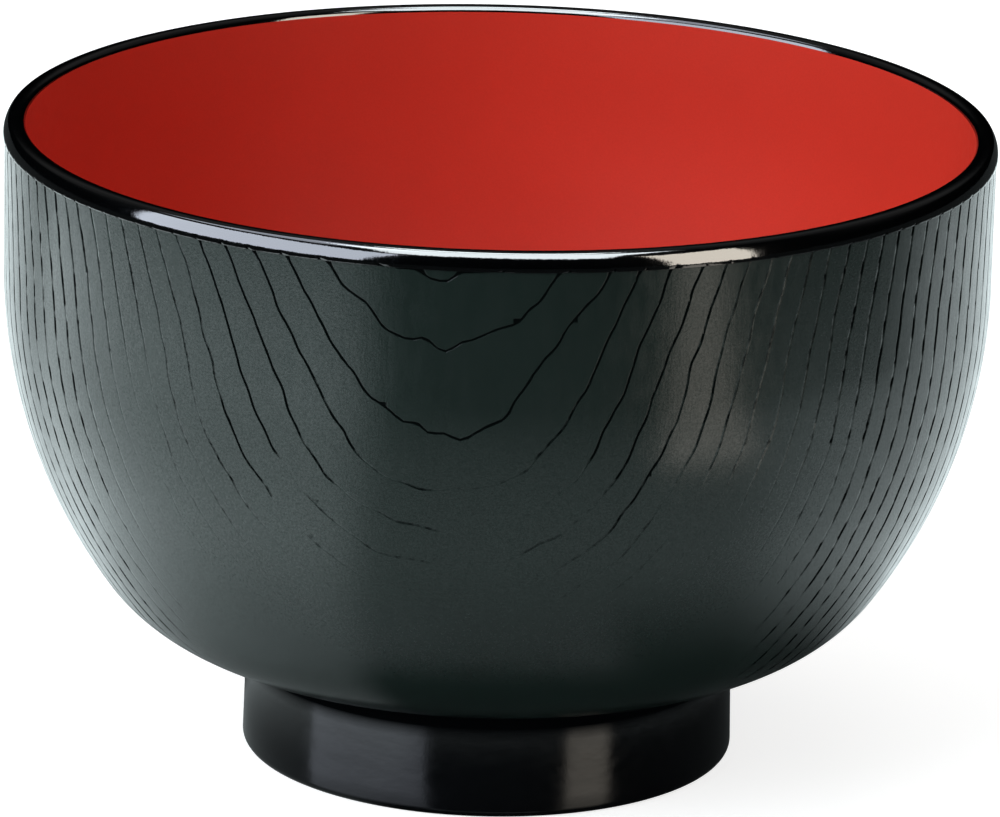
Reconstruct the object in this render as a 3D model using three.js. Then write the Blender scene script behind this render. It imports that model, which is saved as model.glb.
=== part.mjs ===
// A lacquered wooden soup bowl: a turned wood core with a tall foot ring, hemp cloth that
// strengthens the rim and the foot, black lacquer outside and vermilion lacquer inside.
// Millimetres, +Z up, origin on the floor at the centre of the foot.
// Every piece is a revolve about +Z. Neighbouring layers are bonded, so they share one surface.
import * as THREE from "three";

// Overall sizes of the finished bowl
const HEIGHT = 75.3;
const RIM_RADIUS = 57.5;
const RIM_THICKNESS = 2.6;

// Outside of the belly, from the straight wall under the rim down to the foot
const WALL_CURVE_RADIUS = 62;
const HIP_CURVE_RADIUS = 20;
const FOOT_LEDGE = 1.1; // flat underside between the hip curve and the foot

// Inside of the bowl
const INNER_WALL_CURVE_RADIUS = 58;
const INNER_HIP_CURVE_RADIUS = 18;
const FLOOR_RADIUS = 26; // where the hip curve runs out into the dished floor
const FLOOR_THICKNESS = 8; // wood and coats at the centre
const FLOOR_DISH_ANGLE = THREE.MathUtils.degToRad(8);

// Rim band, smooth and a little proud of the grained belly. Its face leans in, its top is crowned
const BAND_PROUD = 0.2;
const BAND_FOOT = 0.3; // upright edge under the leaning face
const BAND_CURVE_RADIUS = 3.1;
const BAND_LEAN_LOW = THREE.MathUtils.degToRad(10); // lean of the face at its lower edge
const BAND_LEAN_HIGH = THREE.MathUtils.degToRad(33); // and at its upper edge
const RIM_EDGE_RADIUS = 0.7;
const RIM_CROWN_RADIUS = 3.2;
const RED_LINE_DROP = 0.65; // from the top of the rim to the edge of the vermilion
const RIM_CLOTH_INNER_DROP = 6;

// Foot ring
const FOOT_HEIGHT = 13.6; // floor to the underside of the belly
const FOOT_TOP_RADIUS = 28.5;
const FOOT_BOTTOM_RADIUS = 28.8;
const FOOT_WALL = 4;
const FOOT_EDGE_RADIUS = 1;
const WELL_DEPTH = 8; // hollow under the floor, inside the foot
const WELL_TAPER = 1.5; // the hollow narrows by this much towards its ceiling
const WELL_FILLET = 2.5;

// Layers
const OUTER_COAT = 0.3;
const INNER_COAT = 0.3;
const RIM_COAT = 0.3;
const FOOT_COAT = 0.3;
const BASE_COAT = 0.3;
const RIM_CLOTH = 0.3;
const FOOT_CLOTH = 0.3;

// Facets
const TURN_STEPS = 40;
const CURVE_STEPS = 5;
const EDGE_STEPS = 2;
const LEAST_EDGE_RADIUS = 0.05;

const QUARTER = Math.PI / 2;
const at = (radius, height) => new THREE.Vector2(radius, height);

// Points along an arc in the radius-height plane, both ends included.
function arc(radius, height, size, from, to, steps) {
  const curve = new THREE.EllipseCurve(radius, height, size, size, from, to, to < from);
  return curve.getPoints(steps);
}

// Straight wall, wall curve and hip curve, from the hip up to the wall's top.
// Moving the surface by inset keeps the curve centres, so the layers stay parallel.
function bowlCurve({ wallRadius, wallCurve, hipCurve, hipEnd, hipHeight, hipAngle, inset, top }) {
  const drop = Math.acos(
    (hipEnd - hipCurve * Math.sin(hipAngle) + wallCurve - wallRadius) / (wallCurve - hipCurve),
  );
  const hipAcross = wallRadius - wallCurve + (wallCurve - hipCurve) * Math.cos(drop);
  const hipUp = hipHeight + hipCurve * Math.cos(hipAngle);
  const wallUp = hipUp + (wallCurve - hipCurve) * Math.sin(drop);
  const hip = arc(hipAcross, hipUp, hipCurve - inset, hipAngle - QUARTER, -drop, CURVE_STEPS);
  const wall = arc(wallRadius - wallCurve, wallUp, wallCurve - inset, -drop, 0, CURVE_STEPS);
  return [...hip, ...wall.slice(1), at(wallRadius - inset, top)];
}

// Outside of the belly under the given depth of coat, from the foot wall to the rim band.
function bellyCurve(depth) {
  const curve = bowlCurve({
    wallRadius: RIM_RADIUS - BAND_PROUD,
    wallCurve: WALL_CURVE_RADIUS,
    hipCurve: HIP_CURVE_RADIUS,
    hipEnd: FOOT_TOP_RADIUS + FOOT_LEDGE,
    hipHeight: FOOT_HEIGHT,
    hipAngle: 0,
    inset: depth,
    top: BAND_LOW,
  });
  return [at(FOOT_TOP_RADIUS, FOOT_HEIGHT + depth), ...curve];
}

// The rim is a chain of rounds that run smoothly into each other: the band's leaning face, the
// outer edge, a wide crown and the inner edge. A reach is the distance between two of their centres.
const BAND_REACH = BAND_CURVE_RADIUS - RIM_EDGE_RADIUS;
const BAND_ACROSS = RIM_RADIUS - BAND_CURVE_RADIUS * Math.cos(BAND_LEAN_LOW);
const OUTER_EDGE_ACROSS = BAND_ACROSS + BAND_REACH * Math.cos(BAND_LEAN_HIGH);
const INNER_EDGE_ACROSS = RIM_RADIUS - RIM_THICKNESS + RIM_EDGE_RADIUS;
const CROWN_ACROSS = (OUTER_EDGE_ACROSS + INNER_EDGE_ACROSS) / 2;
const CROWN_UP = HEIGHT - RIM_CROWN_RADIUS;
const CROWN_REACH = RIM_CROWN_RADIUS - RIM_EDGE_RADIUS;
const CROWN_TILT = Math.asin((OUTER_EDGE_ACROSS - CROWN_ACROSS) / CROWN_REACH);
const CROWN_START = QUARTER - CROWN_TILT;
const CROWN_END = QUARTER + CROWN_TILT;
const RIM_EDGE_UP = CROWN_UP + CROWN_REACH * Math.cos(CROWN_TILT);
const BAND_UP = RIM_EDGE_UP - BAND_REACH * Math.sin(BAND_LEAN_HIGH);
const BAND_LOW = BAND_UP + BAND_CURVE_RADIUS * Math.sin(BAND_LEAN_LOW) - BAND_FOOT;
const RED_LINE_UP = HEIGHT - RED_LINE_DROP - RIM_EDGE_UP;
const RED_LINE_ANGLE = Math.PI - Math.asin(RED_LINE_UP / RIM_EDGE_RADIUS);
const rimEdge = (depth) => Math.max(RIM_EDGE_RADIUS - depth, LEAST_EDGE_RADIUS);

// Over the rim under the given depth, from the foot of the band to the red line.
function rimOver(depth) {
  const face = BAND_CURVE_RADIUS - depth;
  const edge = rimEdge(depth);
  const crown = RIM_CROWN_RADIUS - depth;
  return [
    at(RIM_RADIUS - depth, BAND_LOW),
    ...arc(BAND_ACROSS, BAND_UP, face, BAND_LEAN_LOW, BAND_LEAN_HIGH, 1),
    ...arc(OUTER_EDGE_ACROSS, RIM_EDGE_UP, edge, BAND_LEAN_HIGH, CROWN_START, EDGE_STEPS).slice(1),
    ...arc(CROWN_ACROSS, CROWN_UP, crown, CROWN_START, CROWN_END, EDGE_STEPS).slice(1),
    ...arc(INNER_EDGE_ACROSS, RIM_EDGE_UP, edge, CROWN_END, RED_LINE_ANGLE, EDGE_STEPS).slice(1),
  ];
}

// The short stretch of the inner round from the red line to the inner wall.
function rimInside(depth) {
  return arc(INNER_EDGE_ACROSS, RIM_EDGE_UP, rimEdge(depth), RED_LINE_ANGLE, Math.PI, 1);
}

// Inside of the bowl under the given depth, from below the rim's round down to the axis.
// The surface lies on the hollow side, so a deeper layer has a larger radius.
const INNER_RADIUS = RIM_RADIUS - RIM_THICKNESS;
const CLOTH_END = HEIGHT - RIM_CLOTH_INNER_DROP;
function innerCurve(depth) {
  const dishRadius = FLOOR_RADIUS / Math.sin(FLOOR_DISH_ANGLE);
  const floorHeight = WELL_DEPTH + FLOOR_THICKNESS;
  const up = bowlCurve({
    wallRadius: INNER_RADIUS,
    wallCurve: INNER_WALL_CURVE_RADIUS,
    hipCurve: INNER_HIP_CURVE_RADIUS,
    hipEnd: FLOOR_RADIUS,
    hipHeight: floorHeight + dishRadius * (1 - Math.cos(FLOOR_DISH_ANGLE)),
    hipAngle: FLOOR_DISH_ANGLE,
    inset: -depth,
    top: CLOTH_END,
  });
  const floor = arc(
    0,
    floorHeight + dishRadius,
    dishRadius + depth,
    FLOOR_DISH_ANGLE - QUARTER,
    -QUARTER,
    EDGE_STEPS,
  );
  floor.at(-1).x = 0;
  return [...up.reverse(), ...floor.slice(1)];
}

// Round the foot under the given depth, from the wood's ledge under the belly down, across the
// tread, and up to the seam where the ceiling of the hollow begins.
const TREAD_INNER_RADIUS = FOOT_BOTTOM_RADIUS - FOOT_WALL;
const WELL_RADIUS = TREAD_INNER_RADIUS - WELL_TAPER;
const SEAM_HEIGHT = WELL_DEPTH - WELL_FILLET;
const LEDGE_HEIGHT = FOOT_HEIGHT + OUTER_COAT;
function footRound(depth) {
  const edge = Math.max(FOOT_EDGE_RADIUS - depth, LEAST_EDGE_RADIUS);
  const up = depth + edge;
  const outer = FOOT_BOTTOM_RADIUS - depth - edge;
  const inner = TREAD_INNER_RADIUS + depth + edge;
  return [
    at(FOOT_TOP_RADIUS - depth, LEDGE_HEIGHT),
    at(FOOT_TOP_RADIUS - depth, FOOT_HEIGHT),
    ...arc(outer, up, edge, 0, -QUARTER, EDGE_STEPS),
    ...arc(inner, up, edge, -QUARTER, -Math.PI, EDGE_STEPS),
    at(WELL_RADIUS + depth, SEAM_HEIGHT),
  ];
}

// Ceiling of the hollow under the foot, from the seam to the axis.
function wellCeiling(depth) {
  const across = WELL_RADIUS - WELL_FILLET;
  return [
    ...arc(across, SEAM_HEIGHT, WELL_FILLET + depth, 0, QUARTER, EDGE_STEPS),
    at(0, WELL_DEPTH + depth),
  ];
}

// A layer between a finished surface and the surface it is bonded to.
const layer = (finished, bonded) => [...finished, ...[...bonded].reverse()];

// Revolves an outline about +Z. Consecutive points that coincide are dropped, and an outline
// that does not start and end on the axis is closed on its first point.
function revolve(outline) {
  const points = outline.filter((p, i) => i === 0 || p.distanceTo(outline[i - 1]) > 1e-6);
  const onAxis = points[0].x === 0 && points.at(-1).x === 0;
  if (!onAxis) points.push(points[0].clone());
  const geometry = new THREE.LatheGeometry(points, TURN_STEPS);
  geometry.rotateX(QUARTER);
  return geometry;
}

// The inner wall is straight where the rim cloth ends, so a point there only needs its depth.
const clothEnd = (depth) => at(INNER_RADIUS + depth, CLOTH_END);

// Over the whole rim, from the foot of the band outside to the end of the cloth inside.
function rimWhole(outerDepth, innerDepth) {
  return [...rimOver(outerDepth), ...rimInside(innerDepth), clothEnd(innerDepth)];
}

// Depths of the wood under the layers of the rim and the foot
const RIM_WOOD = RIM_COAT + RIM_CLOTH;
const RIM_WOOD_INSIDE = INNER_COAT + RIM_CLOTH;
const FOOT_WOOD = FOOT_COAT + FOOT_CLOTH;

// One turned blank: foot, belly, rim and floor, cut back by each layer it carries.
function woodCore() {
  return [
    ...wellCeiling(BASE_COAT).reverse(),
    ...footRound(FOOT_WOOD).reverse(),
    ...bellyCurve(OUTER_COAT),
    ...rimWhole(RIM_WOOD, RIM_WOOD_INSIDE),
    ...innerCurve(INNER_COAT),
  ];
}

// A strip of hemp cloth folded over the edge of the rim.
function rimCloth() {
  return layer(rimWhole(RIM_COAT, INNER_COAT), rimWhole(RIM_WOOD, RIM_WOOD_INSIDE));
}

// A strip of hemp cloth folded round the foot ring.
function footCloth() {
  return layer(footRound(FOOT_WOOD), footRound(FOOT_COAT));
}

// Black coat on the belly, from the foot to the rim band.
function outerLacquer() {
  return layer(bellyCurve(0), bellyCurve(OUTER_COAT));
}

// Smooth black band over the rim, down to the red line inside.
function rimLacquer() {
  return layer(rimOver(0), rimOver(RIM_COAT));
}

// Smooth black coat round the foot ring.
function footLacquer() {
  return layer(footRound(FOOT_COAT), footRound(0));
}

// Black coat on the ceiling of the hollow under the bowl.
function baseLacquer() {
  return layer(wellCeiling(BASE_COAT), wellCeiling(0));
}

// Vermilion coat on the whole inside.
function innerLacquer() {
  return layer(
    [...rimInside(0), ...innerCurve(0)],
    [...rimInside(INNER_COAT), ...innerCurve(INNER_COAT)],
  );
}

const bowl = new THREE.Group();
function add(name, outline, color, roughness) {
  const material = new THREE.MeshStandardMaterial({ color, roughness, metalness: 0 });
  const mesh = new THREE.Mesh(revolve(outline), material);
  mesh.name = name;
  bowl.add(mesh);
}

const WOOD_BROWN = 0xa9743f;
const HEMP_BEIGE = 0xb8a888;
const GRAINED_BLACK = 0x16191a;
const SMOOTH_BLACK = 0x0b0c0d;
const VERMILION_RED = 0xb82a1e;

add("wood_core", woodCore(), WOOD_BROWN, 0.6);
add("rim_cloth", rimCloth(), HEMP_BEIGE, 0.9);
add("foot_cloth", footCloth(), HEMP_BEIGE, 0.9);
add("outer_lacquer", outerLacquer(), GRAINED_BLACK, 0.42);
add("rim_lacquer", rimLacquer(), SMOOTH_BLACK, 0.12);
add("foot_lacquer", footLacquer(), SMOOTH_BLACK, 0.25);
add("base_lacquer", baseLacquer(), SMOOTH_BLACK, 0.3);
add("inner_lacquer", innerLacquer(), VERMILION_RED, 0.4);

export default bowl;
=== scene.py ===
"""A lacquered soup bowl: the turned core, its cloth strips and its coats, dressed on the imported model."""

import math
from typing import NamedTuple

import bmesh
import bpy
from mathutils import Matrix, Vector, noise


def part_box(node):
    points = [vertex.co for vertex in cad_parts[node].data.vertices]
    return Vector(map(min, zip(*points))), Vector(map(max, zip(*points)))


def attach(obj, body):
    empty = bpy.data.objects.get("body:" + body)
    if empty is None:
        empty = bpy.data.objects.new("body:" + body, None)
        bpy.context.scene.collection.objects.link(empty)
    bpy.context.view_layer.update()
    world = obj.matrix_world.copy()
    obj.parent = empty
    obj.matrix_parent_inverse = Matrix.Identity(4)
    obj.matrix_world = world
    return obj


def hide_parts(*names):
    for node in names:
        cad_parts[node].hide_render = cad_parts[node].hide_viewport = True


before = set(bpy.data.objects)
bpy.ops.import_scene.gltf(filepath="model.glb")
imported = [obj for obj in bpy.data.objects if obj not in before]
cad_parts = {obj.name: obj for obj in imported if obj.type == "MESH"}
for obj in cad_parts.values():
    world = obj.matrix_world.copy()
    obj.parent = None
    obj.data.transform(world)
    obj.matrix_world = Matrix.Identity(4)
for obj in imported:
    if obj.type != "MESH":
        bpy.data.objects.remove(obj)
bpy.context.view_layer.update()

bl_info = {
    "name": "Lacquered soup bowl",
    "version": (1, 0, 0),
    "blender": (4, 5, 0),
    "location": "View3D > Sidebar > Bowl",
    "description": "Builds the coats, cloth and core of a turned soup bowl on its frame",
    "category": "Object",
}

BODY = "root"
MM = 0.001
QUARTER = math.pi / 2
FULL_TURN = 2 * math.pi
NO_DIRECTION = Vector((0.0, 0.0, 0.0))

# Corners of the solids that the outlines take their sizes from
RIM_LOW, RIM_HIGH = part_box("rim_lacquer")
BELLY_LOW, BELLY_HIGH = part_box("outer_lacquer")
_, FOOT_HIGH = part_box("foot_lacquer")
_, BASE_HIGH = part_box("base_lacquer")
LINING_LOW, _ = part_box("inner_lacquer")
CLOTH_LOW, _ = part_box("rim_cloth")
COAT = 0.3 * MM
BAND_OVERHANG = 0.25 * MM  # how far the band's edge reaches below its solid

# How finely outlines are drawn, in steps, and turned, in columns
BAND_EDGE_STEPS = 2
SHOWN_STEPS = 8
HIDDEN_STEPS = 4
HIDDEN_RIM_STEPS = 6
LINING_EDGE_STEPS = 6
HIDDEN_EDGE_STEPS = 3
GRAIN_COLUMNS = 400
SHOWN_COLUMNS = 320
BASE_COLUMNS = 240
HIDDEN_COLUMNS = 160
TOUCH = 1e-7  # points of an outline nearer than this, in metres, are one point
WELD = 1e-6  # and so are points of a turned body
SHARP_EDGE = 40  # degrees
SHARP_GROOVE = 70  # degrees


# Settings


def length(name, description, default):
    """A size in metres that a user may change."""
    return bpy.props.FloatProperty(
        name=name,
        description=description,
        default=default,
        min=0.0,
        precision=5,
        unit="LENGTH",
    )


def angle(name, description, degrees):
    """An angle that a user may change."""
    return bpy.props.FloatProperty(
        name=name, description=description, default=math.radians(degrees), subtype="ANGLE"
    )


def number(name, description, default):
    """A plain number that a user may change."""
    return bpy.props.FloatProperty(name=name, description=description, default=default, precision=4)


def colour(name, description, default):
    """A linear colour that a user may change."""
    return bpy.props.FloatVectorProperty(
        name=name,
        description=description,
        default=default,
        size=3,
        min=0.0,
        max=1.0,
        subtype="COLOR",
    )


class BowlSizes(bpy.types.PropertyGroup):
    """Sizes of the turned bowl and of its layers."""

    height: length("Height", "Floor to the top of the rim", RIM_HIGH.z)
    rim_radius: length("Rim radius", "Outside of the rim band", RIM_HIGH.x)
    rim_thickness: length("Rim thickness", "Across the finished rim", 2.6 * MM)
    rim_edge: length("Rim edge", "Radius of the rim's rounded edges", 0.7 * MM)
    rim_crown: length("Rim crown", "Radius of the crowned top of the rim", 3.2 * MM)
    band_low: length("Band edge", "Height of the rim band's lower edge", RIM_LOW.z - BAND_OVERHANG)
    band_curve: length("Band curve", "Radius of the band's face, which leans in", 3.1 * MM)
    band_lean_low: angle("Band lean, low", "Lean of the band's face at its lower edge", 2)
    band_lean_high: angle("Band lean, high", "Lean of the band's face at its upper edge", 33)
    belly_radius: length("Belly radius", "Outside of the belly under the band", BELLY_HIGH.x)
    wall_curve: length("Wall curve", "Radius of the wall's outline", 62 * MM)
    hip_curve: length("Hip curve", "Radius of the outline where the wall turns under", 20 * MM)
    foot_ledge: length("Foot ledge", "Flat underside outside the foot", 1.1 * MM)
    inner_wall_curve: length("Inner wall curve", "Radius of the inside's outline", 58 * MM)
    inner_hip_curve: length("Inner hip curve", "Radius where the inside turns to the floor", 18 * MM)
    floor_radius: length("Floor radius", "Edge of the dished floor", 26 * MM)
    floor_height: length("Floor height", "Finished floor at the centre", LINING_LOW.z + COAT)
    floor_dish: angle("Floor dish", "Slope of the dished floor at its edge", 8)
    red_line_drop: length("Red line", "Rim top to the edge of the vermilion", 0.65 * MM)
    cloth_low: length("Cloth edge", "Height where the rim cloth ends inside", CLOTH_LOW.z)
    foot_height: length("Foot height", "Floor to the underside of the belly", BELLY_LOW.z)
    foot_top_radius: length("Foot radius, top", "Foot where it meets the belly", 28.5 * MM)
    foot_bottom_radius: length("Foot radius, bottom", "Foot at its tread", FOOT_HIGH.x)
    # Painted shade: between these heights the foot loses its mirroring, and above them it stays dark, for
    # the shade under the hip that its gloss would show
    painted_shade_low: length("Dull from", "Height on the foot where its polish begins to fade", 9.2 * MM)
    painted_shade_high: length("Dull to", "Height on the foot above which it is left dull", 10.8 * MM)
    foot_wall: length("Foot wall", "Thickness of the foot ring at its tread", 4 * MM)
    foot_edge: length("Foot edge", "Radius of the foot's edges", 1 * MM)
    well_depth: length("Well depth", "Hollow under the bowl", BASE_HIGH.z - COAT)
    well_taper: length("Well taper", "Narrowing of the hollow towards its ceiling", 1.5 * MM)
    well_fillet: length("Well fillet", "Radius round the ceiling of the hollow", 2.5 * MM)
    coat: length("Coat", "Thickness of each lacquer coat", COAT)
    cloth: length("Cloth", "Thickness of each hemp strip", 0.3 * MM)


class GrainSettings(bpy.types.PropertyGroup):
    """The growth rings that the black coat leaves open as grooves."""

    facing: angle("Facing", "Direction of the flat-sawn face, from the front to the right", -5.9)
    front_spacing: length("Front spacing", "Ring spacing across the flat-sawn face", 1.25 * MM)
    side_spacing: length("Side spacing", "Ring spacing at the sides", 3.55 * MM)
    first_ring: number("First ring", "Place of the first ring, as a share of the spacing", 0.15)
    lean: number("Lean", "How fast the rings lean in below the rim", 0.195)
    lean_ease: number("Lean ease", "How fast that lean falls off, per metre", 2.2)
    sway: length("Sway", "How far a ring strays over a few centimetres", 0.5 * MM)
    kink: length("Kink", "How far a ring strays at a kink", 0.4 * MM)
    jag: length("Jag", "How ragged a ring is over a millimetre or two", 0.11 * MM)
    groove_width: length("Groove half width", "Half the width of one open ring in front", 0.17 * MM)
    side_width: length("Side half width", "Half the width of one open ring at the sides", 0.28 * MM)
    groove_depth: length("Groove depth", "Deepest part of one open ring in front", 0.10 * MM)
    side_depth: length("Side depth", "Deepest part of one open ring at the sides", 0.14 * MM)
    nick_depth: length("Nick depth", "How deep a ring bites into the edge of the rim band", 0.05 * MM)
    nick_height: length("Nick height", "How far up the rim band a ring bites", 0.55 * MM)


class FinishColours(bpy.types.PropertyGroup):
    """Base colours of the coats, the cloth and the wood."""

    belly: colour("Belly", "Black coat with open grain", (0.0078, 0.0152, 0.013))
    # The groove colour is partly the grain's own dark bottom and partly painted shade of the narrow crack
    groove: colour("Groove", "The same coat in the bottom of the grain", (0.002, 0.003, 0.003))
    rim: colour("Rim", "Glossy black of the rim", (0.0008, 0.001, 0.0012))
    foot: colour("Foot", "Smooth black of the foot", (0.002, 0.0024, 0.003))
    lining: colour("Lining", "Vermilion of the inside", (0.63, 0.043, 0.026))
    wood: colour("Wood", "Late wood of the core", (0.22, 0.105, 0.04))
    pale_wood: colour("Pale wood", "Early wood of the core", (0.47, 0.28, 0.13))
    hemp: colour("Hemp", "Threads of the cloth strips", (0.48, 0.40, 0.27))
    hemp_gap: colour("Hemp gap", "Lacquer between the threads", (0.06, 0.045, 0.03))


class StageSettings(bpy.types.PropertyGroup):
    """Floor, surroundings and camera."""

    distance: length("Camera distance", "Camera to the point it looks at", 0.92)
    elevation: angle("Camera elevation", "Camera above the level", 16.72)
    roll: angle("Camera roll", "Tilt of the picture", 1.421)
    aim_across: length("Aim across", "Point looked at, to the right of the axis", 0.674 * MM)
    aim_up: length("Aim up", "Height of the point looked at", 40.58 * MM)
    lens: number("Lens", "Focal length in millimetres on a 36 mm sensor", 283.45)
    floor: number("Floor", "Grey level of the pale floor", 0.7)
    floor_fill: number("Floor fill", "Light added to the floor where the camera sees it", 0.74)
    ambient: number("Ambient", "Even light from all round the bowl", 0.34)
    back_wall: number("Back wall", "The studio behind the bowl, as it shows in the gloss", 0.11)
    # Levels of light painted on the floor for the gloss, from the left floor to the far floor
    left_floor: number("Left floor", "The floor on the left, as it shows in the gloss", 3.0)
    left_far: number("Left floor, far", "The same floor further out", 4.1)
    right_floor: number("Right floor", "The floor on the right, as it shows in the gloss", 1.65)
    right_far: number("Right floor, far", "The same floor further out", 0.45)
    back_floor: number("Back floor", "The floor behind, as it shows in the gloss", 1.85)
    near_floor: number("Near floor", "The floor in front of the bowl, as it shows in the gloss", 1.0)
    far_floor: number("Far floor", "The same floor further out", 0.12)
    floor_shine: number("Floor shine", "How much the floor next to the foot mirrors the lamps", 0.24)


# Outlines, drawn in the radius-height plane from straight lines and arcs


class Line(NamedTuple):
    """A straight stretch of an outline."""

    start: tuple
    end: tuple
    steps: int = 1

    def turned(self):
        """The same stretch, drawn the other way."""
        return Line(self.end, self.start, self.steps)


class Arc(NamedTuple):
    """A round stretch of an outline, between two angles from the outward direction."""

    centre: tuple
    size: float
    begin: float
    finish: float
    steps: int

    @property
    def start(self):
        """The first point of the arc."""
        across = self.centre[0] + self.size * math.cos(self.begin)
        return (across, self.centre[1] + self.size * math.sin(self.begin))

    def turned(self):
        """The same stretch, drawn the other way."""
        return Arc(self.centre, self.size, self.finish, self.begin, self.steps)


class CurveSteps(NamedTuple):
    """Steps along the hip, the curved wall and the straight wall of a bowl."""

    hip: int
    curve: int
    wall: int


SHOWN_BELLY = CurveSteps(28, 58, 24)
BONDED_BELLY = CurveSteps(5, 5, 1)
SHOWN_LINING = CurveSteps(20, 28, 6)
BONDED_LINING = CurveSteps(6, 6, 1)
CORE_CURVE = CurveSteps(12, 12, 2)


def backwards(path):
    """A path drawn from its end to its start."""
    return [stretch.turned() for stretch in reversed(path)]


def between(first, second):
    """The closed outline of a layer between two paths that run the same way."""
    return [*first, *backwards(second)]


def under_strip(sizes):
    """Depth of the wood under a cloth strip and its coat."""
    return sizes.coat + sizes.cloth


def bowl_curve(wall_radius, wall_curve, hip_curve, hip_end, hip_up, hip_angle, inset, top, steps):
    """Hip, curved wall and straight wall, from the hip up."""
    across = hip_end - hip_curve * math.sin(hip_angle)
    drop = math.acos((across + wall_curve - wall_radius) / (wall_curve - hip_curve))
    hip_centre = (across, hip_up + hip_curve * math.cos(hip_angle))
    wall_up = hip_centre[1] + (wall_curve - hip_curve) * math.sin(drop)
    wall_centre = (wall_radius - wall_curve, wall_up)
    wall = wall_radius - inset
    return [
        Arc(hip_centre, hip_curve - inset, hip_angle - QUARTER, -drop, steps.hip),
        Arc(wall_centre, wall_curve - inset, -drop, 0, steps.curve),
        Line((wall, wall_up), (wall, top), steps.wall),
    ]


def belly_path(sizes, depth, steps):
    """Outside of the belly under a depth of coat, from the foot to the rim band."""
    hip_end = sizes.foot_top_radius + sizes.foot_ledge
    height = sizes.foot_height + depth
    ledge = Line((sizes.foot_top_radius, height), (hip_end, height))
    curve = bowl_curve(
        wall_radius=sizes.belly_radius,
        wall_curve=sizes.wall_curve,
        hip_curve=sizes.hip_curve,
        hip_end=hip_end,
        hip_up=sizes.foot_height,
        hip_angle=0.0,
        inset=depth,
        top=sizes.band_low,
        steps=steps,
    )
    return [ledge, *curve]


def inside_path(sizes, depth, steps):
    """Inside of the bowl under a depth of coat, from the end of the rim cloth to the axis."""
    dish_radius = sizes.floor_radius / math.sin(sizes.floor_dish)
    curve = bowl_curve(
        wall_radius=sizes.rim_radius - sizes.rim_thickness,
        wall_curve=sizes.inner_wall_curve,
        hip_curve=sizes.inner_hip_curve,
        hip_end=sizes.floor_radius,
        hip_up=sizes.floor_height + dish_radius * (1 - math.cos(sizes.floor_dish)),
        hip_angle=sizes.floor_dish,
        inset=-depth,
        top=sizes.cloth_low,
        steps=steps,
    )
    centre = (0.0, sizes.floor_height + dish_radius)
    dish = Arc(centre, dish_radius + depth, sizes.floor_dish - QUARTER, -QUARTER, steps.hip)
    return [*backwards(curve), dish]


class RimRounds:
    """Centres and angles of the rim's rounds: the band's face, two edges and the crown between them."""

    def __init__(self, sizes):
        face_reach = sizes.band_curve - sizes.rim_edge
        crown_reach = sizes.rim_crown - sizes.rim_edge
        face_across = sizes.rim_radius - sizes.band_curve * math.cos(sizes.band_lean_low)
        outer_across = face_across + face_reach * math.cos(sizes.band_lean_high)
        inner_across = sizes.rim_radius - sizes.rim_thickness + sizes.rim_edge
        crown_across = (outer_across + inner_across) / 2
        tilt = math.asin((outer_across - crown_across) / crown_reach)
        crown_up = sizes.height - sizes.rim_crown
        edge_up = crown_up + crown_reach * math.cos(tilt)
        red_line_up = sizes.height - sizes.red_line_drop - edge_up
        self.face = (face_across, edge_up - face_reach * math.sin(sizes.band_lean_high))
        self.outer = (outer_across, edge_up)
        self.inner = (inner_across, edge_up)
        self.crown = (crown_across, crown_up)
        self.crown_start = QUARTER - tilt
        self.crown_end = QUARTER + tilt
        self.red_line = math.pi - math.asin(red_line_up / sizes.rim_edge)


def rim_path(sizes, depth, steps):
    """Over the rim under a depth, from the lower edge of the band to the red line."""
    rim = RimRounds(sizes)
    wall = sizes.rim_radius - depth
    face = sizes.band_curve - depth
    edge = sizes.rim_edge - depth
    leaning = Arc(rim.face, face, sizes.band_lean_low, sizes.band_lean_high, steps)
    return [
        Line((wall, sizes.band_low), leaning.start, BAND_EDGE_STEPS),
        leaning,
        Arc(rim.outer, edge, sizes.band_lean_high, rim.crown_start, steps),
        Arc(rim.crown, sizes.rim_crown - depth, rim.crown_start, rim.crown_end, steps),
        Arc(rim.inner, edge, rim.crown_end, rim.red_line, steps),
    ]


def rim_inside_path(sizes, depth, steps):
    """From the red line down the inside of the rim to the end of the rim cloth."""
    rim = RimRounds(sizes)
    wall = sizes.rim_radius - sizes.rim_thickness + depth
    return [
        Arc(rim.inner, sizes.rim_edge - depth, rim.red_line, math.pi, steps),
        Line((wall, rim.inner[1]), (wall, sizes.cloth_low), steps),
    ]


def whole_rim_path(sizes, depth):
    """Over the hidden rim under a depth, from the lower edge of the band to the end of the rim cloth."""
    over = rim_path(sizes, depth, HIDDEN_RIM_STEPS)
    return [*over, *rim_inside_path(sizes, depth, HIDDEN_EDGE_STEPS)]


def foot_path(sizes, depth, steps):
    """Round the foot under a depth, from the belly across the tread to the seam in the well."""
    edge = sizes.foot_edge - depth
    tread_inner = sizes.foot_bottom_radius - sizes.foot_wall
    outer = (sizes.foot_bottom_radius - sizes.foot_edge, sizes.foot_edge)
    inner = (tread_inner + sizes.foot_edge, sizes.foot_edge)
    top = (sizes.foot_top_radius - depth, sizes.foot_height)
    ledge = sizes.foot_height + sizes.coat
    bottom = (sizes.foot_bottom_radius - depth, sizes.foot_edge)
    seam = (tread_inner - sizes.well_taper + depth, sizes.well_depth - sizes.well_fillet)
    return [
        Line((top[0], ledge), top),
        Line(top, bottom, steps),
        Arc(outer, edge, 0, -QUARTER, steps),
        Line((outer[0], depth), (inner[0], depth)),
        Arc(inner, edge, -QUARTER, -math.pi, steps),
        Line((tread_inner + depth, sizes.foot_edge), seam, steps),
    ]


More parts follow.
